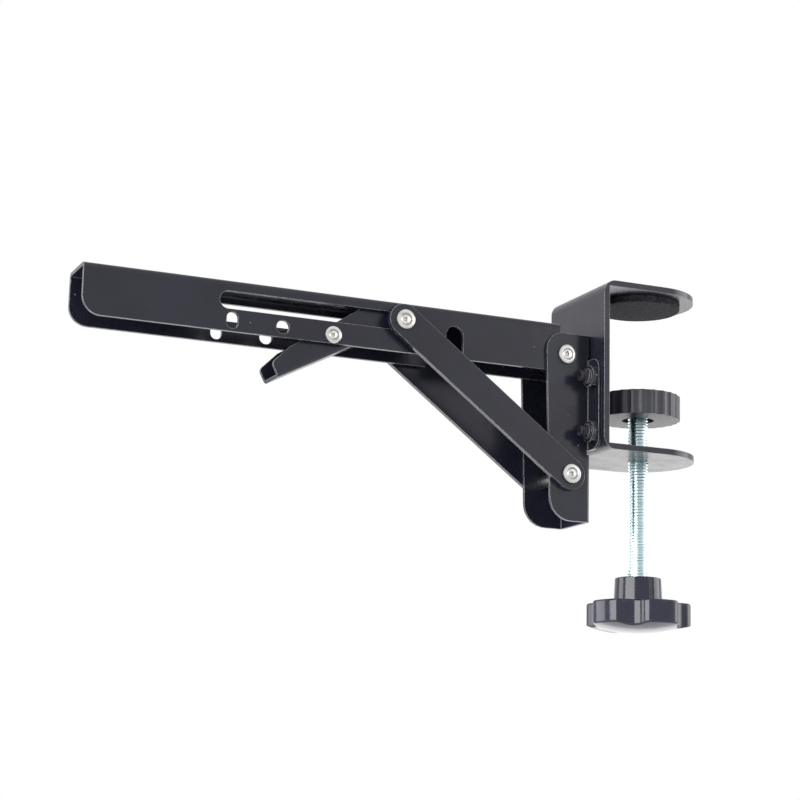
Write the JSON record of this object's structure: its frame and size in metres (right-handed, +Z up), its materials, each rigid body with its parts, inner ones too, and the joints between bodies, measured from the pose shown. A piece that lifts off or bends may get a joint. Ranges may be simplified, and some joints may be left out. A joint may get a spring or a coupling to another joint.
{
  "type": "folding shelf bracket",
  "caption": "Folding shelf arm with slotted brace linkage and spring release lever, on a steel C-clamp with a lobed hand screw for a desk edge.",
  "frame": {"origin": "centre of the grip pad's underside, where the clamp rests on a desk", "axes": "+X from the arm's free end towards the clamp's jaws, +Y across the arm, +Z up"},
  "size_m": [0.2496, 0.044, 0.1334],
  "materials": {
    "clamp_paint": "satin black powder coat",
    "bracket_paint": "satin black powder coat",
    "arm_paint": "satin black powder coat",
    "brace_paint": "satin black powder coat",
    "lever_paint": "satin black powder coat",
    "nut_black": "black oxide, slightly oily",
    "bolt_black": "black oxide",
    "rivet_nickel": "bright nickel plate, turned",
    "rod_zinc": "bright zinc plate",
    "screw_zinc": "blue zinc plate",
    "bush_steel": "plain steel, oiled",
    "spring_steel": "spring wire",
    "knob_plastic": "glossy black moulded plastic",
    "pad_plastic": "satin black moulded plastic",
    "grip_foam": "black textured foam rubber"
  },
  "bodies": {
    "clamp": {"clamp_frame": "clamp_paint", "grip_pad": "grip_foam", "wall_bracket": "bracket_paint", "arm_pivot_pin": "rivet_nickel", "lower_pivot_rod": "rod_zinc", "ear_bolt_near_upper": "bolt_black", "ear_bolt_near_lower": "bolt_black", "ear_bolt_far_upper": "bolt_black", "ear_bolt_far_lower": "bolt_black", "ear_nut_near_upper": "nut_black", "ear_nut_near_lower": "nut_black", "ear_nut_far_upper": "nut_black", "ear_nut_far_lower": "nut_black"},
    "arm": {"shelf_arm": "arm_paint", "lever_pin": "rivet_nickel", "lever_spring": "spring_steel"},
    "slider": {"slot_bush_near": "bush_steel", "slot_bush_far": "bush_steel"},
    "braces": {"brace_near": "brace_paint", "brace_far": "brace_paint", "brace_rivet_near": "rivet_nickel", "brace_rivet_far": "rivet_nickel"},
    "lever": {"release_lever": "lever_paint"},
    "pad": {"pressure_pad": "pad_plastic"},
    "screw": {"clamp_screw": "screw_zinc", "clamp_knob": "knob_plastic"}
  },
  "joints": [
    {"name": "fold", "type": "hinge", "parent": "clamp", "child": "arm", "pos_m": [-0.0379, 0, -0.0241], "axis": [0, -1, 0], "range_deg": [0, 90]},
    {"name": "slot_slide", "type": "slide", "parent": "arm", "child": "slider", "axis": [-1, 0, 0], "range_m": [0, 0.065]},
    {"name": "brace_swing", "type": "hinge", "parent": "clamp", "child": "braces", "pos_m": [-0.0369, 0, -0.0709], "axis": [0, -1, 0], "range_deg": [0, 122.7]},
    {"name": "lever_tip", "type": "hinge", "parent": "arm", "child": "lever", "pos_m": [-0.13385, 0, -0.0275], "axis": [0, 1, 0], "range_deg": [0, 25], "stiffness_Nm_per_rad": 0.05, "springref_deg": -17.19, "deforming": ["lever_spring"]},
    {"name": "clamp_travel", "type": "slide", "parent": "clamp", "child": "pad", "axis": [0, 0, 1], "range_m": [-0.0075, 0.034]},
    {"name": "screw_turn", "type": "hinge", "parent": "pad", "child": "screw", "pos_m": [0, 0, -0.0444], "axis": [0, 0, 1], "range_deg": [-2160, 9792]}
  ],
  "couplings": [
    {"joint": "slot_slide", "follows": "fold", "m_per_rad": 0.041183},
    {"joint": "brace_swing", "follows": "fold", "ratio": 1.3625},
    {"joint": "clamp_travel", "follows": "screw_turn", "m_per_rad": 0.00019894}
  ]
}
